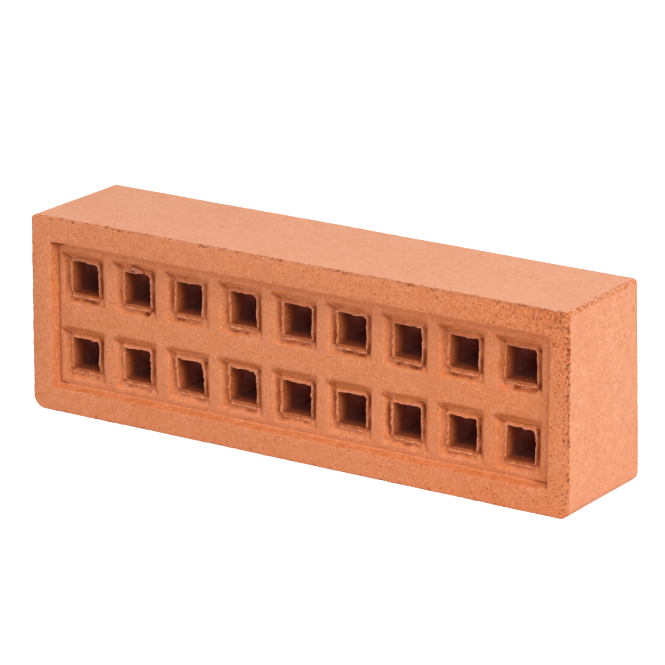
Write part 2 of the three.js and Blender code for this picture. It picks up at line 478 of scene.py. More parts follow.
    def add_curl_line(self):
        """The hollow over the curl of clay, and the creases of the dishes."""
        row, column = CURL_HOLE
        x = self.x - HOLE_XS[column] - CURL_OFFSET[0]
        z = bent(x, self.z - HOLE_ZS[row] - HOLE_HEIGHT / 2 - CURL_OFFSET[1])
        ring = np.hypot(x / CURL_HALF[0], z / CURL_HALF[2])
        self.over_curl = ridge(ring, *CURL_LINE) * rise(z + 0.3 * x, -0.1, 0.3)
        self.on_curl = rise(ring, 1.05, 0.90)
        self.relief = self.relief + CURL_LINE_DEPTH * self.over_curl + CREASE_DEPTH * self.crease

    def shade_dishes(self):
        """Painted shade: how much darker and redder each side of the dish is, and the left and lower lips."""
        out = self.out
        above_lip = rise(out, 0.6, 1.0) * self.upper
        below_lip = rise(out, 2.1, 2.7) * rise(out, 5.6, 3.0) * self.lower
        self.dish_shade = largest(
            rise(self.dish, 1, 0.9) * np.clip(self.by_side(DISH_SHADE), 0, 1),
            above_lip * self.by_row(ABOVE_LIP_SHADE),
            below_lip * self.by_row(BELOW_LIP_SHADE),
            0.8 * self.lip * self.left,
            self.lip * self.lower * rise(out, 1.25, 0.55),
        )

    def shade_grooves(self):
        """Painted shade in the grooves and creases, the slot, the notch and the hollow over the curl; a
        groove's shade starts where the lip ends.
        """
        out = self.out
        not_right = self.upper * (1 - self.right)
        far_side = self.middle + 0.75 * self.half_width + 0.25 * self.right
        dark = smoothstep((out - self.edge + 0.20) / 0.15) * smoothstep((far_side + 0.5 - out) / 0.8)
        dark = dark * np.clip(self.strength, 0, 1) * (1 - 0.8 * not_right)
        thin_line = ridge(out, self.middle, 0.34) * self.along_top * (1 - self.right)
        foot_line = 0.22 * not_right * ridge(self.dish_in - DISH_RUN["all"], 0.20, 0.26)
        dark = largest(dark, thin_line, foot_line, 0.8 * self.slot, self.notch, self.over_curl)
        inner_lip = 0.74 * self.lip * self.lower * rise(out, 1.05, 0.35)
        self.groove = largest(dark * (1 - self.on_curl), inner_lip, 0.78 * self.crease)

    def shade_crests(self):
        """Painted highlight: how pale the crests of the lips and the curl are."""
        share = self.by_side(CREST_SHARE) + self.lower_row * self.by_side(LOW_ROW_CREST)
        share = np.clip(share, 0, 1) * (1 - 0.9 * self.lower * rise(self.out, 1.20, 0.70))
        self.crest = np.maximum(self.lip * share, 1.4 * self.on_curl)

    def at(self, points, name):
        """A map's values at the points, by straight interpolation."""
        values = getattr(self, name)
        xs, zs = self.axes
        i = np.clip(np.searchsorted(xs, points[:, 0]) - 1, 0, len(xs) - 2)
        k = np.clip(np.searchsorted(zs, points[:, 2]) - 1, 0, len(zs) - 2)
        s = (points[:, 0] - xs[i]) / (xs[i + 1] - xs[i])
        t = (points[:, 2] - zs[k]) / (zs[k + 1] - zs[k])
        low = values[i, k] * (1 - s) + values[i + 1, k] * s
        high = values[i, k + 1] * (1 - s) + values[i + 1, k + 1] * s
        return low * (1 - t) + high * t


# ---- pits and nicks: each function gives centres and the smallest and largest radius ----
PIT_SEED = 41
# where along the upper arris of the face the photo shows a larger nick
NICK_XS = (-86, -76, -72.5, -70, -59.5, -49.5, -37, -34, -28.5, -22.5, -8, -4.5, 21, 47, 88.5, 96.5)


def along_brick(rng, margin):
    return rng.uniform(margin - HALF_LENGTH, HALF_LENGTH - margin)


def upper_arris_pits(rng):
    for _ in range(190):
        x = along_brick(rng, 2)
        yield x, FACE_Y + rng.uniform(0.3, 1.7), HEIGHT - rng.uniform(-0.05, 0.25), (0.26, 0.56)


def nicks(rng):
    for middle in NICK_XS:
        for _ in range(3):
            z = HEIGHT - rng.uniform(0.0, 0.25)
            x = middle + rng.normal(0, 0.42)
            yield x, FACE_Y + rng.uniform(0.4, 1.5), z, (0.42, 0.70)


def right_arris_pits(rng):
    for _ in range(72):
        z = (HEIGHT - 1) * rng.uniform(0.002, 1) ** 0.42
        x = HALF_LENGTH - RIGHT_LEAN[0] * z / HEIGHT - rng.uniform(0.05, 0.35)
        yield x, FACE_Y + rng.uniform(0.4, 1.6), z, (0.30, 0.66)


def left_arris_pits(rng):
    for _ in range(40):
        z = rng.uniform(2, HEIGHT - 1)
        x = -HALF_LENGTH + LEFT_LEAN[0] * z / HEIGHT + rng.uniform(0, 0.4)
        yield x, FACE_Y + rng.uniform(0, 0.3), z, (0.15, 0.35)


def lower_arris_pits(rng):
    for _ in range(50):
        x = along_brick(rng, 3)
        yield x, FACE_Y + rng.uniform(0, 0.4), rng.uniform(0, 0.4), (0.18, 0.42)


def end_pits(rng):
    """Along the ends' arrises, one on top and one underneath at a time."""
    for side in (-1, 1):
        for _ in range(40):
            y = rng.uniform(FACE_Y + 1, BACK_Y - 1)
            x = side * (HALF_LENGTH - end_lean(side, y) - rng.uniform(0, 0.5))
            yield x, y, HEIGHT - rng.uniform(0, 0.4), (0.18, 0.46)
            x = side * (HALF_LENGTH - 1.0 - rng.uniform(-0.2, 0.6))
            yield x, y, 0.9 + rng.uniform(-0.3, 0.3), (0.18, 0.40)


def back_pits(rng):
    for _ in range(60):
        x = along_brick(rng, 2)
        yield x, BACK_Y - rng.uniform(0, 0.4), HEIGHT * rng.integers(0, 2), (0.18, 0.40)


def border_pits(rng):
    for _ in range(240):
        x = along_brick(rng, 1)
        z = rng.uniform(1, HEIGHT - 1)
        if abs(x) > PANEL_HALF[0] or abs(z - PANEL_Z) > PANEL_HALF[1]:
            yield x, FACE_Y + rng.uniform(-0.10, 0.05), z, (0.20, 0.40)


def corner_pits(rng):
    """The heavily pitted upper right corner of the face."""
    for _ in range(80):
        x = HALF_LENGTH - RIGHT_LEAN[0] - abs(rng.normal(0, 7))
        z = HEIGHT - abs(rng.normal(0, 4))
        yield x, FACE_Y + rng.uniform(-0.2, 0.0), z, (0.26, 0.50)


def top_pits(rng):
    for _ in range(14):
        x = along_brick(rng, 2)
        yield x, rng.uniform(FACE_Y + 1, BACK_Y - 1), HEIGHT + 0.08, (0.20, 0.30)


ARRIS_PITS = (upper_arris_pits, nicks, right_arris_pits, left_arris_pits, lower_arris_pits)
OTHER_PITS = (end_pits, back_pits, border_pits, corner_pits, top_pits)


def scatter_pits():
    rng = np.random.default_rng(PIT_SEED)
    pits = []
    for kind in ARRIS_PITS + OTHER_PITS:
        for x, y, z, radii in kind(rng):
            pits.append((x, y, z, rng.uniform(*radii)))
    return np.array(pits)


def carve(field, axes, centre, radius):
    reach = 2 * radius
    window = tuple(slice(*np.searchsorted(axis, (c - reach, c + reach))) for axis, c in zip(axes, centre))
    if 0 in field[window].shape:
        return
    x, y, z = (axis[part] - c for axis, part, c in zip(axes, window, centre))
    distance = np.sqrt((x**2)[:, None, None] + (y**2)[None, :, None] + (z**2)[None, None, :])
    field[window] = smooth_max(field[window], (radius - distance).astype(np.float32), PIT_EASE)


def add_curl(field, axes):
    row, column = CURL_HOLE
    centre = (
        HOLE_XS[column] + CURL_OFFSET[0],
        FACE_Y + CURL_BEHIND,
        HOLE_ZS[row] + HOLE_HEIGHT / 2 + CURL_OFFSET[1],
    )
    x, y, z = (axis.astype(np.float32) - c for axis, c in zip(axes, centre))
    u = (x / CURL_HALF[0])[:, None, None]
    v = (y / CURL_HALF[1])[None, :, None]
    w = (bent(x[:, None], z[None, :]) / CURL_HALF[2])[:, None, :]
    size = np.sqrt(u * u + v * v + w * w)
    np.minimum(field, (size - 1) * CURL_HALF[2], out=field)


# ---- the solid ----
def block_field(x, y, z, relief, coarse, fine):
    lower = np.where(x < 0, LOWER_LEFT_RADIUS, LOWER_RIGHT_RADIUS)
    radius = np.where(z > HEIGHT / 2, UPPER_RADIUS, lower)
    leaning = np.abs(x) + end_lean(x, y) * z / HEIGHT
    outline = box_distance(leaning, z - HEIGHT / 2, HALF_LENGTH, HEIGHT / 2, radius)
    front = (FACE_Y + relief)[:, None, :] - y
    across = np.maximum(front, y - BACK_Y)
    by_face = y < 0
    wear = (BACK_ARRIS_WEAR + FRONT_ARRIS_WEAR[0] * by_face) * coarse
    rounding = np.clip(ARRIS_ROUND + wear + FRONT_ARRIS_WEAR[1] * fine * by_face, *ARRIS_ROUND_RANGE)
    blunt = rise(x - HALF_LENGTH, -7, -2) * rise(z, 30, 68)
    rounding = rounding + BLUNT_ARRIS * blunt * by_face
    return smooth_max(outline, across, rounding).astype(np.float32)


def brick_field(axes, face, pits):
    """Negative inside the fired clay, at every point of the grid."""
    xs, ys, zs = axes
    x = xs[:, None, None].astype(np.float32)
    y = ys[None, :, None].astype(np.float32)
    z = zs[None, None, :].astype(np.float32)
    coarse = noise(axes, "coarse")
    fine = noise(axes, "fine")
    field = block_field(x, y, z, face.relief, coarse, fine)
    skin = SKIN + SKIN_WAVES * noise(axes, "waves") + SKIN_GRAIN * fine
    field += np.maximum(skin, 0)
    for pit in pits:
        carve(field, axes, pit[:3], pit[3])

    behind = y - (FACE_Y + DISH_FLOOR)
    draft = HOLE_DRAFT * np.clip(behind / (DEPTH - DISH_FLOOR), 0, 1)
    ragged = face.rag[:, None, :] * np.exp(-np.clip(behind + 1, 0, None) / RAG_REACH)
    bore = -(face.out[:, None, :] + draft + ragged + BORE_WAVES * coarse)
    field = np.maximum(field, bore)
    add_curl(field, axes)

    limit = largest(np.abs(x) - HALF_LENGTH, np.abs(y) - DEPTH / 2, np.abs(z - HEIGHT / 2) - HEIGHT / 2)
    return np.maximum(field, limit + LIMIT_INSET)


# ---- the mesh ----
AROUND_A_LINE = ((-1, -1), (0, -1), (0, 0), (-1, 0))  # the four cells round a grid line


def number_cells(inside):
    """A number for each cell that the surface passes through, and -1 for the others."""
    nx, ny, nz = inside.shape
    count = np.zeros((nx - 1, ny - 1, nz - 1), np.int8)
    for i, j, k in np.ndindex(2, 2, 2):
        count += inside[i : nx - 1 + i, j : ny - 1 + j, k : nz - 1 + k]
    crossed = (count > 0) & (count < 8)
    numbers = np.full(crossed.shape, -1, np.int32)
    numbers[crossed] = np.arange(crossed.sum(), dtype=np.int32)
    return numbers


def find_crossings(field, axes, axis):
    """Where the surface crosses the grid lines along one axis, and where it does so inwards."""
    whole = (slice(None),) * axis
    before, after = field[(*whole, slice(0, -1))], field[(*whole, slice(1, None))]
    start = np.nonzero((before < 0) != (after < 0))
    a, b = before[start], after[start]
    points = [axes[k][start[k]] for k in range(3)]
    step = axes[axis][start[axis] + 1] - points[axis]
    points[axis] = points[axis] + a / (a - b) * step
    return start, points, a > 0


def surface_net(field, axes):
    """The field's zero surface as quads, with one vertex in each cell that it crosses."""
    numbers = number_cells(field < 0)
    count = numbers.max() + 1
    total = np.zeros((count, 3))
    hits = np.zeros(count)
    quads = []
    for axis in range(3):
        start, points, inwards = find_crossings(field, axes, axis)
        u, v = (axis + 1) % 3, (axis + 2) % 3
        corners = []
        for du, dv in AROUND_A_LINE:
            cell = list(start)
            cell[u] = cell[u] + du
            cell[v] = cell[v] + dv
            ids = numbers[tuple(cell)]
            corners.append(ids)
            hits += np.bincount(ids, minlength=count)
            for k in range(3):
                total[:, k] += np.bincount(ids, weights=points[k], minlength=count)
        quad = np.stack(corners, 1)
        quad[inwards] = quad[inwards][:, ::-1]
        quads.append(quad)
    return total / hits[:, None], np.concatenate(quads)


def mesh_from(name, points, quads):
    mesh = bpy.data.meshes.new(name)
    mesh.vertices.add(len(points))
    mesh.vertices.foreach_set("co", (points * MM).astype(np.float32).ravel())
    mesh.loops.add(4 * len(quads))
    mesh.loops.foreach_set("vertex_index", quads.astype(np.int32).ravel())
    mesh.polygons.add(len(quads))
    mesh.polygons.foreach_set("loop_start", np.arange(0, 4 * len(quads), 4, dtype=np.int32))
    mesh.update(calc_edges=True)
    mesh.validate()
    return mesh


def mesh_points(mesh):
    points = np.empty((len(mesh.vertices), 3), np.float32)
    mesh.vertices.foreach_get("co", points.ravel())
    return points / MM


def thin_out(brick, face):
    points = mesh_points(brick.data)
    near = face.at(points, "out")
    widest = 1.5 + 1.0 * face.at(points, "lower")
    rims = (near > -0.32) & (near < widest) & (points[:, 1] < FACE_Y + 5.0)
    group = brick.vertex_groups.new(name="rims")
    group.add(np.nonzero(rims)[0].tolist(), 1.0, "REPLACE")
    fewer = brick.modifiers.new("fewer", "DECIMATE")
    fewer.ratio = TRIANGLES / (2 * len(brick.data.polygons))
    fewer.vertex_group = "rims"
    fewer.invert_vertex_group = True
    bpy.context.view_layer.objects.active = brick
    bpy.ops.object.modifier_apply(modifier="fewer")
    brick.vertex_groups.clear()


def largest_part(shape):
    """The faces of the largest part that is joined by edges of two faces."""
    unseen = set(shape.faces)
    best = []
    while unseen:
        part = [unseen.pop()]
        for face in part:  # the list grows while it is walked
            for edge in face.edges:
                if len(edge.link_faces) == 2:
                    fresh = unseen.intersection(edge.link_faces)
                    unseen -= fresh
                    part.extend(fresh)
        if len(part) > len(best):
            best = part
    return best


def drop_loose_parts(mesh):
    """Removes bubbles inside the clay and crumbs that hang free of it."""
    shape = bmesh.new()
    shape.from_mesh(mesh)
    bmesh.ops.remove_doubles(shape, verts=shape.verts, dist=WELD * MM)
    loose = set(shape.faces) - set(largest_part(shape))
    bmesh.ops.delete(shape, geom=list(loose), context="FACES")
    shape.to_mesh(mesh)
    shape.free()


# ---- what the material needs to know about each vertex ----
def pit_closeness(points, pits):
    """How much painted shade a pit gets: 1 at the bottom of a large pit, less in a small one, 0 outside."""
    best = np.zeros(len(points), np.float32)
    order = np.argsort(points[:, 0])
    sorted_x = points[order, 0]
    for x, y, z, radius in pits:
        reach = radius * 1.35
        low, high = np.searchsorted(sorted_x, (x - reach, x + reach))
        ids = order[low:high]
        d = np.linalg.norm(points[ids] - (x, y, z), axis=1)
        darkest = min(1.0, (radius / 0.60) ** 2)
        best[ids] = np.maximum(best[ids], darkest * np.clip((reach - d) / (0.5 * radius), 0, 1))
    return best


def write_tones(mesh, face, pits):
    points = mesh_points(mesh)
    x, y, z = points.T
    out = face.at(points, "out")
    behind_face = y - FACE_Y
    inside = behind_face - MOUTH_DEPTH
    in_bore = rise(out, 0.45, -0.05) * rise(inside, 0, 1)
    near_face = rise(behind_face, 6.5, 5.5)
    on_lip = near_face * rise(out, -0.25, 0.05) * rise(inside, 1.0, 0.4)
    # Most of these values place painted shade and painted highlight: in the holes, grooves, dishes and pits,
    # and on the lips' crests.
    tones = {
        "depth": in_bore * np.minimum(inside, (BACK_Y - y) * 1.5),  # how far inside a hole
        "floor": face.at(points, "lower") * in_bore,
        "roof": face.at(points, "roof") * in_bore,
        "groove": face.at(points, "groove") * near_face,
        "crest": face.at(points, "crest") * on_lip,
        "end_inset": HALF_LENGTH - np.abs(x) - end_lean(x, y) * z / HEIGHT,  # distance from the nearer end
        "pit": pit_closeness(points, pits),
    }
    for name in ("across", "panel_in", "dish_in", "dish_shade"):
        tones[name] = face.at(points, name)
    for name, values in tones.items():
        attribute = mesh.attributes.new(name, "FLOAT", "POINT")
        attribute.data.foreach_set("value", values.astype(np.float32))


# ---- materials ----
class Nodes:
    """Short calls for a material's nodes, and its colour as painted so far."""

    def __init__(self, tree):
        self.tree = tree
        tree.nodes.clear()

    def add(self, kind, inputs, output=0, **settings):
        """Adds a node, sets its inputs by name or number, and gives that output."""
        node = self.tree.nodes.new("ShaderNode" + kind)
        for key, value in settings.items():
            setattr(node, key, value)
        for key, value in inputs.items():
            socket = node.inputs[key]
            if isinstance(value, bpy.types.NodeSocket):
                self.tree.links.new(value, socket)
            elif isinstance(value, tuple) and socket.type == "RGBA":
                socket.default_value = (*value, 1)
            else:
                socket.default_value = value
        return node.outputs[output] if node.outputs else None

    def math(self, operation, *values, clamp=False):
        return self.add("Math", dict(enumerate(values)), operation=operation, use_clamp=clamp)

    def vector(self, operation, *values):
        return self.add("VectorMath", dict(enumerate(values)), operation=operation)

    def times(self, first, *others):
        for other in others:
            first = self.math("MULTIPLY", first, other)
        return first

    def most(self, first, *others):
        for other in others:
            first = self.math("MAXIMUM", first, other)
        return first

    def plus(self, total, value, factor=1.0):
        """The total with factor times the value added."""
        return self.math("MULTIPLY_ADD", value, factor, total)

    def ramp(self, value, low, high, to_low=0.0, to_high=1.0):
        inputs = dict(enumerate((value, low, high, to_low, to_high)))
        return self.add("MapRange", inputs, interpolation_type="SMOOTHSTEP")

    def choose(self, mask, without, within):
        """The first number where the mask is 0, the second where it is 1."""
        return self.ramp(mask, 0, 1, without, within)

    def band(self, value, low, high, ease):
        """1 where the value is between low and high, 0 outside them."""
        return self.times(self.ramp(value, low - ease, low), self.ramp(value, high + ease, high))

    def attribute(self, name):
        return self.add("Attribute", {}, "Fac", attribute_name=name)

    def noise(self, where, size, detail=2.0, rough=0.5, output="Fac"):
        """Noise whose features are about size millimetres across."""
        inputs = {"Vector": where, "Scale": 1 / (size * MM), "Detail": detail, "Roughness": rough}
        return self.add("TexNoise", inputs, output)

    def mix(self, amount, a, b, blend="MIX", kind="RGBA"):
        inputs = {"Factor": amount, "A": a, "B": b}
        return self.add("Mix", inputs, "Result", data_type=kind, blend_type=blend)

    def scale(self, colour, factor):
        """The colour made lighter or darker."""
        return self.add("VectorMath", {0: colour, "Scale": factor}, operation="SCALE")

    def paint(self, amount, colour):
        self.colour = self.mix(amount, self.colour, colour)

    def tinted(self, tint):
        return self.mix(1.0, self.colour, tint, "MULTIPLY")

    def shade(self, mask, factor):
        self.colour = self.scale(self.colour, self.choose(mask, 1.0, factor))


def new_material(name):
    material = bpy.data.materials.new(name)
    material.use_nodes = True
    return material, Nodes(material.node_tree)


# The top, bed, ends and back are paler than the face partly as painted light, for how brightly lit the top
# and the right end are, and partly as a skin unlike the pressed face.
SKIN_COLOUR = (0.800, 0.335, 0.177)  # the ends and the back
TOP_COLOUR = (0.775, 0.355, 0.212)  # the smooth top and bed
PRESSED_COLOUR = (0.694, 0.240, 0.102)  # the face
PRESSED_RIGHT_COLOUR = (0.700, 0.229, 0.089)  # the same towards its right end, where it is redder
BLUSH_COLOUR = (0.72, 0.285, 0.165)  # paler, pinker clouds in the clay
DEEP_SHADE_COLOUR = (0.270, 0.044, 0.006)  # painted shade in the grooves and creases, and along the panel's walls
# painted shade in the pits, pocks and nicks
PIT_SHADE_COLOUR = (0.15, 0.028, 0.007)
SPECK_COLOUR = (0.46, 0.105, 0.028)
WORN_COLOUR = (0.60, 0.185, 0.070)  # the rubbed upper arris of the right end
CREST_HIGHLIGHT_COLOUR = (0.63, 0.385, 0.280)  # painted highlight on the crests of the lips
CREST_SHADE = (0.40, 0.105, 0.038)

# tints, which multiply the colour under them
WALL_SHADE_TINT = (0.86, 0.78, 0.57)  # painted shade on the walls of the panel and of the dishes
LOW_WALL_SHADE_TINT = (0.96, 0.90, 0.86)  # the painted shade that the lower wall of the panel adds to that
CLOUD_TINT = (0.97, 0.94, 0.92)
CORNER_TINT = (0.95, 0.80, 0.66)  # the pitted upper right corner of the face
BORE_SHADE_TINT = (0.84, 0.62, 0.38)  # painted shade over the first millimetre inside the holes
GRAIN_TINT = (0.75, 1.20, 1.75)  # darker grain is also redder

# painted shade on the way into a hole, after the depths where each colour starts and where it is full
BORE_WALL_SHADES = (
    (-0.6, 7.0, (0.150, 0.024, 0.0065)),
    (5.0, 17.0, (0.530, 0.190, 0.155)),
    (12.5, 16.5, (0.560, 0.170, 0.085)),
)
BORE_FLOOR_SHADES = ((0.0, 2.1, (0.180, 0.026, 0.0065)), (5.3, 6.6, (0.072, 0.016, 0.013)))
FLOOR_LIGHT_AND_SHADE = (0.68, 1.20)  # painted shade at a hole's left and painted light at its right
# painted light on the roofs of the holes
ROOF_PAINTED_LIGHT = 1.75

# round spots: the size of their cells, their radius in cells, their strength and colour
GRIT = (1.2, 0.36, 0.36, (0.90, 0.50, 0.29))
RUST = (2.3, 0.30, 0.60, (0.60, 0.165, 0.060))
SPECKS = (1.25, 0.36, 0.42, SPECK_COLOUR)
DOTS = (1.25, 0.40, 0.95, SPECK_COLOUR)
POCKS = (1.15, 0.46, 0.48, PIT_SHADE_COLOUR)
NICKS = (3.2, 0.26, 0.48, PIT_SHADE_COLOUR)
SPOT_SHAKE = (0.6 * MM,) * 3  # how far the cells are shaken, so that no two spots have one shape
SPOT_SHAKE_SIZE = 0.7

# how strongly other things are painted, from 0 to 1
LEFT_LINE = 0.48
LOW_LINE = 0.09
TOP_LINE = 0.14
CREST_PAINT = 0.55
GROOVE_PAINT = 0.95
PIT_PAINT = 0.92
CORNER_PAINT = 0.45

WRAP = 1.6  # how far the face's colour is carried round its arrises, as painted shade over the rounded arrises
WRAP_EASE = 0.25
BUMP_STRENGTH = 0.55
BUMP_DEPTH = 0.30
ROUGHNESS = (0.86, 0.96)
SPECULAR = 0.25


# The functions down to terracotta() build the clay in turn. n carries the colour and the masks they share.
def along_x(n, low, high, to_low=0.0, to_high=1.0):
    return n.ramp(n.x, low * MM, high * MM, to_low, to_high)


def nearness(n, a, b, reach):
    """1 on the arris where two faces meet, 0 at reach millimetres from it."""
    squares = n.plus(n.times(b, b), a, a)
    return n.ramp(n.math("SQRT", squares), reach, 0.0)


def find_places(n):
    """Distances in millimetres from the face, the bed, the top and the nearer end."""
    n.where = n.add("TexCoord", {}, "Object")
    n.x, n.y, n.z = n.add("SeparateXYZ", {0: n.where}).node.outputs
    n.front = n.plus(-FACE_Y, n.y, 1 / MM)
    n.bed = n.times(n.z, 1 / MM)
    n.top = n.math("SUBTRACT", HEIGHT, n.bed)
    n.end = n.attribute("end_inset")
    n.panel_in = n.attribute("panel_in")
    n.right_half = n.math("GREATER_THAN", n.x, 0.0)
    n.on_face = n.ramp(n.front, 5.5, 5.0)
    n.on_border = n.ramp(n.front, 1.2, 0.4)
    n.low_side = n.times(n.on_face, n.ramp(n.bed, 13.0, 12.5))


def find_skins(n):
    """Where the clay is pressed, where it is smooth, and where the face's colour is carried round the arrises
    as painted shade.
    """
    from_bed_or_top = n.math("MINIMUM", n.bed, n.top)
    inset = n.math("MINIMUM", from_bed_or_top, n.end)
    pressed = n.times(n.ramp(inset, 0.25, 0.85), n.ramp(n.front, 12.0, 6.0))
    ragged = n.plus(n.math("SUBTRACT", n.front, 1.2), n.noise(n.where, 1.1, 1.0), 2.4)
    n.wrap = n.ramp(ragged, WRAP + WRAP_EASE, WRAP - WRAP_EASE)
    n.pressed = n.most(pressed, n.wrap)
    n.smooth = n.ramp(from_bed_or_top, 1.0, 0.3)


def find_wear(n):
    """How worn each place is: along the arrises, and over the upper right corner of the face."""
    upper = n.times(nearness(n, n.front, n.top, 1.6), 0.55)
    lower = n.times(nearness(n, n.front, n.bed, 1.5), 0.45)
    ends = n.most(nearness(n, n.front, n.end, 3.0), nearness(n, n.top, n.end, 2.6))
    n.worn = n.most(upper, lower, n.times(ends, n.choose(n.right_half, 0.12, 1.0)))
    along_arris = nearness(n, n.times(n.end, 0.22), n.top, 16.0)
    down_arris = nearness(n, n.end, n.times(n.top, 0.28), 15.0)
    n.corner = n.times(n.most(along_arris, down_arris), n.right_half, n.on_border)
    n.gritty = n.times(along_x(n, -20, 90), n.on_border)


def lay_clay(n):
    # the paler colour off the face is partly painted light
    n.colour = n.mix(n.smooth, SKIN_COLOUR, TOP_COLOUR)
    n.paint(n.pressed, n.mix(along_x(n, 10, 85), PRESSED_COLOUR, PRESSED_RIGHT_COLOUR))


def shade_walls(n):
    """Painted shade on the walls of the dishes and of the panel, all but its right one, and more on its lower
    wall.
    """
    wall_end = n.math("ADD", n.choose(n.low_side, PANEL_WALL_RUN, LOW_WALL_RUN), 0.1)
    outer = n.ramp(n.panel_in, -0.20, -0.05)
    inner = n.ramp(n.panel_in, n.math("ADD", wall_end, 0.15), wall_end)
    n.panel_wall = n.times(outer, inner, n.on_face, along_x(n, 97, 96))
    in_dish = n.ramp(n.attribute("dish_in"), -0.15, 0.45)
    dish_wall = n.times(in_dish, n.attribute("dish_shade"), n.on_face)
    n.paint(n.most(n.panel_wall, dish_wall), n.tinted(WALL_SHADE_TINT))
    n.paint(n.times(n.panel_wall, n.low_side), n.tinted(LOW_WALL_SHADE_TINT))


def draw_shade_lines(n):
    """Painted shade: thin dark lines along the feet of the panel's left and lower walls, and along its upper
    rim.
    """
    left = n.band(n.panel_in, PANEL_WALL_RUN + 0.12, PANEL_WALL_RUN + 0.50, 0.15)
    left = n.times(left, n.on_face, along_x(n, -94, -95), LEFT_LINE)
    low = n.band(n.panel_in, LOW_WALL_RUN + 0.60, LOW_WALL_RUN + 0.85, 0.12)
    low = n.times(low, n.low_side, LOW_LINE)
    top = n.band(n.panel_in, 0.05, 0.40, 0.15)
    top = n.times(top, n.ramp(n.top, 13.0, 12.0), n.on_face, TOP_LINE)
    n.paint(n.most(left, low, top), DEEP_SHADE_COLOUR)


def shade_arrises(n):
    """Painted shade along the right and the upper arris of the face, over the strip that carries the face's
    colour round them.
    """
    n.shade(n.times(n.ramp(n.end, 0.55, 0.15), n.wrap, n.right_half), 0.92)
    along_top = n.times(n.ramp(n.top, 0.9, 0.2), n.wrap, along_x(n, -60, 50, 0.06, 0.17))
    n.colour = n.scale(n.colour, n.math("SUBTRACT", 1.0, along_top))


def add_clouds(n):
    strongest = n.plus(n.choose(n.pressed, 0.18, 0.22), n.smooth, -0.06)
    n.paint(n.ramp(n.noise(n.where, 5.0, 2.0), 0.42, 0.66, 0.0, strongest), BLUSH_COLOUR)
    even = n.ramp(n.noise(n.where, 22, 3.0), 0.30, 0.70)
    n.colour = n.mix(even, n.tinted(CLOUD_TINT), n.colour)


def find_grain(n):
    """The cutting wire drew the grain of the top and bed out from front to back."""
    drawn_y = n.times(n.y, n.choose(n.smooth, 1.0, 0.85))
    place = n.add("CombineXYZ", {0: n.x, 1: drawn_y, 2: n.z})
    plain = n.noise(place, 0.95, 2.0, 0.6)
    return n.mix(n.smooth, plain, n.noise(place, 0.72, 2.0), kind="FLOAT")


def grain_depth(n):
    """How strongly the grain shows: most in the corner, on the right and on the panel's walls."""
    low_border = n.times(n.ramp(n.bed, 14.0, 8.0), n.ramp(n.front, 6.0, 5.0))
    depth = n.choose(n.pressed, 0.106, 0.120)
    depth = n.times(depth, n.choose(n.smooth, 1.0, 0.77), n.choose(low_border, 1.0, 0.80))
    depth = n.plus(depth, n.corner, 0.09)
    depth = n.plus(depth, n.times(n.gritty, n.pressed), 0.045)
    return n.plus(depth, n.panel_wall, 0.06)


def add_grain(n):
    """Fine grain over broader mottling."""
    n.grain = find_grain(n)
    n.mottle = n.noise(n.where, 3.0, 3.0)
    mottling = n.times(n.ramp(n.mottle, 0.28, 0.72, -1.0, 1.0), n.choose(n.smooth, 0.05, 0.035))
    swing = n.plus(mottling, n.ramp(n.grain, 0.25, 0.75, -1.0, 1.0), grain_depth(n))
    n.colour = n.vector("MULTIPLY", n.colour, n.vector("MULTIPLY_ADD", swing, GRAIN_TINT, (1.0, 1.0, 1.0)))


def spots(n, kind, share):
    """Round spots in that share of their cells: 1 inside, 0 outside."""
    cell, radius = kind[:2]
    inputs = {"Vector": n.shaken, "Scale": 1 / (cell * MM), "Randomness": 1.0}
    cells = n.add("TexVoronoi", inputs).node.outputs
    chosen = n.math("LESS_THAN", n.add("SeparateColor", {0: cells["Color"]}), share)
    return n.times(chosen, n.ramp(cells["Distance"], radius, radius * 0.55))


def paint_spots(n, kind, mask):
    strength, colour = kind[2:]
    n.paint(n.times(mask, strength), colour)
    return mask


def add_spots(n):
    """Grit, rust, specks, the corner's dots, the rubbed patches, and the pocks and nicks, painted dark with
    the painted shade of small pits.
    """
    shake = n.noise(n.where, SPOT_SHAKE_SIZE, output="Color")
    n.shaken = n.vector("MULTIPLY_ADD", shake, SPOT_SHAKE, n.where)
    share = n.plus(n.choose(n.pressed, 0.10, 0.16), n.corner, 0.16)
    share = n.math("ADD", share, n.times(n.smooth, along_x(n, -10, 90, 0.06, 0.16)))
    n.grit = paint_spots(n, GRIT, spots(n, GRIT, share))
    share = n.times(n.choose(n.pressed, 1.0, 0.0), n.choose(n.smooth, 1.0, 0.60), 0.10)
    paint_spots(n, RUST, spots(n, RUST, share))
    share = n.plus(n.choose(n.pressed, 0.055, 0.09), n.smooth, -0.045)
    n.specks = paint_spots(n, SPECKS, spots(n, SPECKS, share))
    n.paint(n.times(n.corner, CORNER_PAINT), n.tinted(CORNER_TINT))
    paint_spots(n, DOTS, spots(n, DOTS, n.plus(n.times(n.gritty, 0.10), n.corner, 0.60)))
    rubbed = n.times(n.ramp(nearness(n, n.top, n.end, 2.4), 0.10, 0.60), n.right_half)
    patches = n.ramp(n.noise(n.where, 1.1, 2.0), 0.44, 0.56, 0.10, 0.90)
    n.paint(n.times(rubbed, patches), WORN_COLOUR)
    pocks = spots(n, POCKS, n.times(n.worn, 0.55))
    n.pocks = paint_spots(n, POCKS, n.most(pocks, spots(n, NICKS, n.times(n.worn, 0.60))))


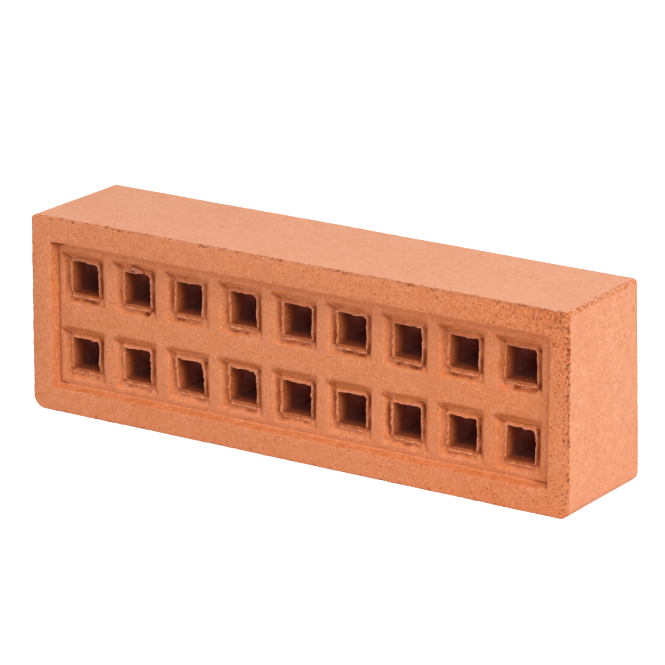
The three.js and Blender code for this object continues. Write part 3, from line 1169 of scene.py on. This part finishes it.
def paint_panel_light_and_shade(n):
    """Painted light and shade on the panel: darker over its upper part, lighter just under its upper wall,
    where the border's shadow falls, and beside its right wall, darker beside its left wall.
    """
    in_panel = n.times(n.ramp(n.front, 2.2, 2.8), n.pressed)
    strips = (
        (n.ramp(n.top, 26.0, 15.0), 0.97),
        (n.ramp(n.top, 14.5, 12.0), 1.17),
        (along_x(n, 95, 97), 1.03),
        (along_x(n, -92, -93.5), 0.93),
    )
    for strip, brightness in strips:
        n.shade(n.times(in_panel, strip), brightness)


def paint_mouths(n):
    """Painted highlight on the beaded crests of the lips with painted shade between the beads, and painted
    shade in the grooves round them and in the pits.
    """
    n.crest = n.attribute("crest")
    n.beads = n.noise(n.where, 0.62, 1.5)
    n.paint(n.times(n.crest, CREST_PAINT), n.mix(n.ramp(n.beads, 0.40, 0.58), CREST_SHADE, CREST_HIGHLIGHT_COLOUR))
    n.paint(n.math("MULTIPLY", n.attribute("groove"), GROOVE_PAINT, clamp=True), DEEP_SHADE_COLOUR)
    n.paint(n.times(n.attribute("pit"), PIT_PAINT), PIT_SHADE_COLOUR)


def paint_bore_shade(n):
    """Painted shade inside the holes: darker inwards, the floor sooner than the walls and the roof, with
    painted light on the roof and on the floor's right.
    """
    depth = n.attribute("depth")
    n.paint(n.ramp(depth, 0.2, 1.0), n.tinted(BORE_SHADE_TINT))
    start, full, layer = BORE_FLOOR_SHADES[0]
    floor = n.mix(n.ramp(depth, start, full), n.colour, layer)
    floor = n.scale(floor, n.ramp(n.attribute("across"), -0.2, 0.9, *FLOOR_LIGHT_AND_SHADE))
    start, full, layer = BORE_FLOOR_SHADES[1]
    floor = n.mix(n.ramp(depth, start, full), floor, layer)
    for start, full, layer in BORE_WALL_SHADES:
        n.paint(n.ramp(depth, start, full), layer)
    n.shade(n.times(n.attribute("roof"), n.ramp(depth, 3.0, 7.0)), ROOF_PAINTED_LIGHT)
    n.paint(n.attribute("floor"), floor)
    torn = n.times(n.ramp(depth, 0.1, 1.2), n.ramp(depth, 7.0, 3.0))
    torn = n.times(torn, n.ramp(n.noise(n.where, 0.8, 2.0), 0.30, 0.70, -0.20, 0.20))
    n.colour = n.scale(n.colour, n.math("ADD", torn, 1.0))


def add_shader(n):
    height = n.times(n.grain, n.choose(n.pressed, 0.25, 0.40))
    rough = n.noise(n.where, 1.4, 3.0)
    beads = n.times(n.beads, n.crest)
    for layer, tall in ((rough, 0.20), (n.specks, -0.55), (n.pocks, -0.90), (n.grit, 0.20), (beads, 1.2)):
        height = n.plus(height, layer, tall)
    bump = {"Strength": BUMP_STRENGTH, "Distance": BUMP_DEPTH * MM, "Height": height}
    inputs = {
        "Base Color": n.colour,
        "Roughness": n.ramp(n.mottle, 0.3, 0.7, *ROUGHNESS),
        "Specular IOR Level": SPECULAR,
        "Normal": n.add("Bump", bump),
    }
    n.add("OutputMaterial", {"Surface": n.add("BsdfPrincipled", inputs)})


CLAY_STEPS = (find_places, find_skins, find_wear, lay_clay, shade_walls, draw_shade_lines, shade_arrises)
DETAIL_STEPS = (add_clouds, add_grain, add_spots, paint_panel_light_and_shade, paint_mouths, paint_bore_shade, add_shader)


def terracotta():
    material, n = new_material("terracotta")
    for step in CLAY_STEPS + DETAIL_STEPS:
        step(n)
    return material


def link(name, data):
    thing = bpy.data.objects.new(name, data)
    scene.collection.objects.link(thing)
    return thing


def make_brick():
    axes = make_grid()
    face = Face(axes[0], axes[2])
    pits = scatter_pits()
    points, quads = surface_net(brick_field(axes, face, pits), axes)
    brick = link(PIECE, mesh_from(PIECE, points, quads))
    thin_out(brick, face)
    mesh = brick.data
    drop_loose_parts(mesh)
    mesh.polygons.foreach_set("use_smooth", np.ones(len(mesh.polygons), bool))
    write_tones(mesh, face, pits)
    mesh.materials.append(terracotta())
    return brick


# ---- camera, light and stage ----
CAMERA_AZIMUTH = 32.842
CAMERA_ELEVATION = 17.370
CAMERA_ROLL = 0.173
CAMERA_TARGET = Vector((16.790, FACE_Y, 48.477)) * MM
CAMERA_DISTANCE = 1452.874 * MM
FOCAL_PIXELS = 4376.456
FRAME_PIXELS = 665
SENSOR_WIDTH = 36

# in metres
KEY_DISTANCE = 2.0
KEY_SIZE = 1.7
FLOOR_SIZE = 3.0

KEY_AZIMUTH = 53
KEY_ELEVATION = 48
KEY_POWER = 44
WORLD_LIGHT = 0.38
PAPER_COLOUR = (0.80, 0.80, 0.80)
PAPER_GLOW = 0.82


def direction(azimuth, elevation):
    """From the brick outwards: azimuth 0 is straight in front of the face, 90 is off its right end."""
    a, e = math.radians(azimuth), math.radians(elevation)
    return Vector((math.sin(a) * math.cos(e), -math.cos(a) * math.cos(e), math.sin(e)))


def aim(thing, towards):
    thing.rotation_mode = "QUATERNION"
    thing.rotation_quaternion = (-towards).to_track_quat("-Z", "Y")


def make_camera():
    data = bpy.data.cameras.new("camera")
    data.sensor_width = SENSOR_WIDTH
    data.lens = FOCAL_PIXELS / FRAME_PIXELS * SENSOR_WIDTH
    camera = link("camera", data)
    towards = direction(CAMERA_AZIMUTH, CAMERA_ELEVATION)
    camera.location = CAMERA_TARGET + towards * CAMERA_DISTANCE
    aim(camera, towards)
    roll = Quaternion((0, 0, 1), math.radians(CAMERA_ROLL))
    camera.rotation_quaternion = camera.rotation_quaternion @ roll
    scene.camera = camera


def make_key_light():
    data = bpy.data.lights.new("key", "AREA")
    data.shape = "DISK"
    data.size = KEY_SIZE
    data.energy = KEY_POWER
    light = link("key", data)
    towards = direction(KEY_AZIMUTH, KEY_ELEVATION)
    light.location = Vector((0, 0, HEIGHT / 2 * MM)) + towards * KEY_DISTANCE
    aim(light, towards)


def background_share(n):
    """1 for rays that only look at the backdrop, 0 for rays that light the brick."""
    path = n.add("LightPath", {}).node.outputs
    return n.most(path["Is Camera Ray"], path["Is Glossy Ray"], path["Is Transmission Ray"])


def white_paper():
    """Matt paper that glows white only where it is looked at."""
    material, n = new_material("white_paper")
    matt = n.add("BsdfDiffuse", {"Color": PAPER_COLOUR})
    glow = n.add("Emission", {"Strength": n.times(background_share(n), PAPER_GLOW)})
    n.add("OutputMaterial", {"Surface": n.add("AddShader", {0: matt, 1: glow})})
    return material


def make_floor():
    mesh = bpy.data.meshes.new("floor")
    shape = bmesh.new()
    bmesh.ops.create_grid(shape, x_segments=1, y_segments=1, size=FLOOR_SIZE)
    shape.to_mesh(mesh)
    shape.free()
    mesh.materials.append(white_paper())
    floor = link("floor", mesh)


def make_world():
    """White where it is looked at, and a plain soft light elsewhere."""
    world = bpy.data.worlds.new("studio")
    scene.world = world
    world.use_nodes = True
    n = Nodes(world.node_tree)
    strength = n.plus(WORLD_LIGHT, background_share(n), 1 - WORLD_LIGHT)
    background = n.add("Background", {"Color": (1, 1, 1), "Strength": strength})
    n.add("OutputWorld", {"Surface": background})


brick = make_brick()
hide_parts(NODE)
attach(brick, "root")

make_camera()
make_floor()
make_world()
make_key_light()
scene.view_settings.view_transform = "Standard"
